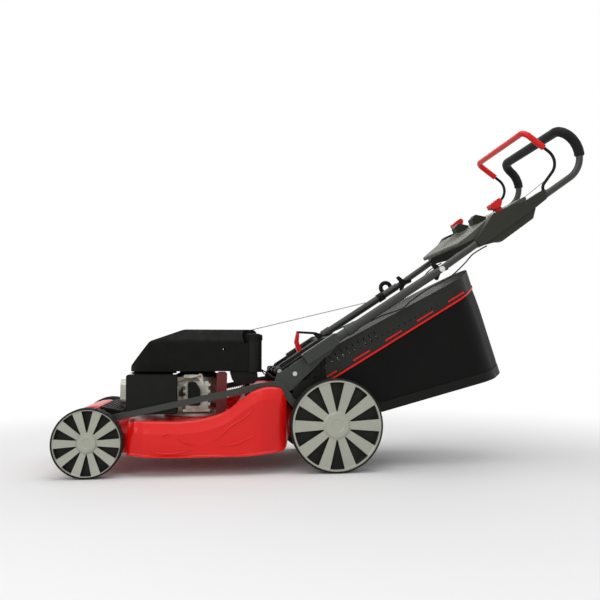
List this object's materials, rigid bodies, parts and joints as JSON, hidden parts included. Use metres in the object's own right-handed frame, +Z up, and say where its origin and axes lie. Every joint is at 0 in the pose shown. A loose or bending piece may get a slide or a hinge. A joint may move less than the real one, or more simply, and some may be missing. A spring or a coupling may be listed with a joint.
{
  "type": "push lawn mower",
  "caption": "Push lawn mower with a pressed deck, a vertical-shaft petrol engine, large rear wheels, a rear grass bag and a folding handle with a control console and a bail.",
  "frame": {"origin": "on the floor, under the middle of the mower's box at rest", "axes": "+X runs back towards the handle's grip, -Y to the side with the air filter and the height lever, +Z up"},
  "size_m": [1.6689, 0.5425, 1.1134],
  "materials": {
    "red_paint": "gloss",
    "black_plastic": "satin",
    "dark_plastic": "satin",
    "shroud_plastic": "matte",
    "grey_frame": "satin",
    "zinc_steel": "satin",
    "cast_aluminium": "satin",
    "tyre_rubber": "matte",
    "hubcap_plastic": "satin",
    "console_grey": "satin",
    "red_plastic": "gloss",
    "bag_fabric": "matte",
    "bag_cover": "satin",
    "foam_rubber": "matte",
    "muffler_steel": "matte",
    "rod_brass": "satin",
    "dark_red_plastic": "satin",
    "rope_cord": "matte",
    "cable_sheath": "satin",
    "steel": "satin",
    "white_cap": "gloss"
  },
  "bodies": {
    "chassis": {"deck_shell": "red_paint", "front_trim": "black_plastic", "discharge_frame": "black_plastic", "handle_brackets": "grey_frame", "crankcase": "cast_aluminium", "engine_cylinder": "cast_aluminium", "rocker_cover": "cast_aluminium", "engine_shroud": "shroud_plastic", "fuel_tank": "black_plastic", "air_filter_base": "black_plastic", "air_filter_cover": "dark_plastic", "carburettor": "cast_aluminium", "muffler": "muffler_steel", "spark_plug": "black_plastic", "governor_rods": "rod_brass", "side_cover": "black_plastic", "oil_filler": "dark_red_plastic", "lower_tubes": "grey_frame", "handle_bolts": "white_cap", "rope_guide": "black_plastic", "starter_rope": "rope_cord", "brake_cable": "cable_sheath", "control_cable": "cable_sheath", "flap_rod": "zinc_steel"},
    "front_axle": {"front_axle": "zinc_steel"},
    "rear_axle": {"rear_axle": "zinc_steel", "height_lever": "black_plastic"},
    "link_bar": {"link_bar": "grey_frame"},
    "front_left_wheel": {"front_left_wheel": "tyre_rubber", "front_left_hubcap": "hubcap_plastic"},
    "front_right_wheel": {"front_right_wheel": "tyre_rubber", "front_right_hubcap": "hubcap_plastic"},
    "rear_left_wheel": {"rear_left_wheel": "tyre_rubber", "rear_left_hubcap": "hubcap_plastic"},
    "rear_right_wheel": {"rear_right_wheel": "tyre_rubber", "rear_right_hubcap": "hubcap_plastic"},
    "rotor": {"flywheel": "cast_aluminium", "crankshaft": "steel", "blade_adapter": "steel", "blade": "steel", "blade_bolt": "steel"},
    "fuel_cap": {"fuel_cap": "black_plastic"},
    "governor_lever": {"governor_lever": "zinc_steel"},
    "left_fold_knob": {"left_fold_knob": "black_plastic"},
    "right_fold_knob": {"right_fold_knob": "black_plastic"},
    "upper_handle": {"upper_handle": "grey_frame", "handle_foam": "foam_rubber", "console_panel": "console_grey", "console_shrouds": "dark_plastic"},
    "throttle_lever": {"throttle_lever": "red_plastic"},
    "drive_lever": {"drive_lever": "red_plastic"},
    "bail": {"bail_wire": "black_plastic", "bail_sleeve": "red_plastic"},
    "starter_grip": {"starter_grip": "black_plastic"},
    "flap": {"rear_flap": "black_plastic", "flap_handle": "red_plastic"},
    "bag": {"bag_cover": "bag_cover", "bag_fabric": "bag_fabric", "bag_tray": "black_plastic", "bag_trim": "red_plastic"}
  },
  "joints": [
    {"name": "front_axle_swing", "type": "hinge", "parent": "chassis", "child": "front_axle", "pos_m": [-0.79102, 0, 0.08], "axis": [0, 1, 0], "range_deg": [0, 38.94]},
    {"name": "rear_axle_swing", "type": "hinge", "parent": "chassis", "child": "rear_axle", "pos_m": [-0.06603, 0, 0.12], "axis": [0, 1, 0], "range_deg": [0, 38.94]},
    {"name": "link_bar_slide", "type": "slide", "parent": "chassis", "child": "link_bar", "axis": [1, 0, 0], "range_m": [0, 0.04667]},
    {"name": "front_left_wheel_spin", "type": "hinge", "parent": "front_axle", "child": "front_left_wheel", "pos_m": [-0.73446, -0.2485, 0.1], "axis": [0, 1, 0], "continuous": true},
    {"name": "front_right_wheel_spin", "type": "hinge", "parent": "front_axle", "child": "front_right_wheel", "pos_m": [-0.73446, 0.2485, 0.1], "axis": [0, 1, 0], "continuous": true},
    {"name": "rear_left_wheel_spin", "type": "hinge", "parent": "rear_axle", "child": "rear_left_wheel", "pos_m": [-0.00946, -0.2485, 0.14], "axis": [0, 1, 0], "continuous": true},
    {"name": "rear_right_wheel_spin", "type": "hinge", "parent": "rear_axle", "child": "rear_right_wheel", "pos_m": [-0.00946, 0.2485, 0.14], "axis": [0, 1, 0], "continuous": true},
    {"name": "rotor_spin", "type": "hinge", "parent": "chassis", "child": "rotor", "pos_m": [-0.42846, 0, 0.2], "axis": [0, 0, 1], "continuous": true},
    {"name": "fuel_cap_turn", "type": "hinge", "parent": "chassis", "child": "fuel_cap", "pos_m": [-0.25246, -0.136, 0.4], "axis": [0, 0, 1], "range_deg": [0, 90]},
    {"name": "governor_lever_swing", "type": "hinge", "parent": "chassis", "child": "governor_lever", "pos_m": [-0.41846, -0.125, 0.284], "axis": [0, 1, 0], "range_deg": [-12, 12], "stiffness_Nm_per_rad": 0.2},
    {"name": "left_fold_knob_turn", "type": "hinge", "parent": "chassis", "child": "left_fold_knob", "pos_m": [0.33485, -0.202, 0.62094], "axis": [0, 1, 0], "continuous": true},
    {"name": "right_fold_knob_turn", "type": "hinge", "parent": "chassis", "child": "right_fold_knob", "pos_m": [0.33485, 0.202, 0.62094], "axis": [0, 1, 0], "continuous": true},
    {"name": "handle_fold", "type": "hinge", "parent": "chassis", "child": "upper_handle", "pos_m": [0.33485, 0, 0.62094], "axis": [0, -1, 0], "range_deg": [0, 120], "deforming": ["brake_cable", "control_cable"]},
    {"name": "throttle_lever_swing", "type": "hinge", "parent": "upper_handle", "child": "throttle_lever", "pos_m": [0.57174, -0.172, 0.8039], "axis": [0, 1, 0], "range_deg": [-15, 15]},
    {"name": "drive_lever_swing", "type": "hinge", "parent": "upper_handle", "child": "drive_lever", "pos_m": [0.57174, 0.172, 0.8039], "axis": [0, 1, 0], "range_deg": [-15, 15]},
    {"name": "bail_pull", "type": "hinge", "parent": "upper_handle", "child": "bail", "pos_m": [0.70297, 0, 0.88847], "axis": [0, 1, 0], "range_deg": [0, 23], "stiffness_Nm_per_rad": 6, "springref_deg": -20.05},
    {"name": "starter_pull", "type": "slide", "parent": "chassis", "child": "starter_grip", "axis": [0.515, 0, 0.8572], "range_m": [0, 0.45], "stiffness_N_per_m": 30, "springref_m": -0.2, "deforming": ["starter_rope"]},
    {"name": "flap_lift", "type": "hinge", "parent": "chassis", "child": "flap", "pos_m": [-0.17446, 0, 0.3], "axis": [0, -1, 0], "range_deg": [0, 50], "stiffness_Nm_per_rad": 1.2, "springref_deg": -45.84},
    {"name": "bag_lift_off", "type": "slide", "parent": "chassis", "child": "bag", "axis": [0.8829, 0, 0.4695], "range_m": [0, 0.3]}
  ],
  "couplings": [
    {"joint": "rear_axle_swing", "follows": "front_axle_swing", "ratio": 1},
    {"joint": "link_bar_slide", "follows": "front_axle_swing", "m_per_rad": 0.06866}
  ]
}
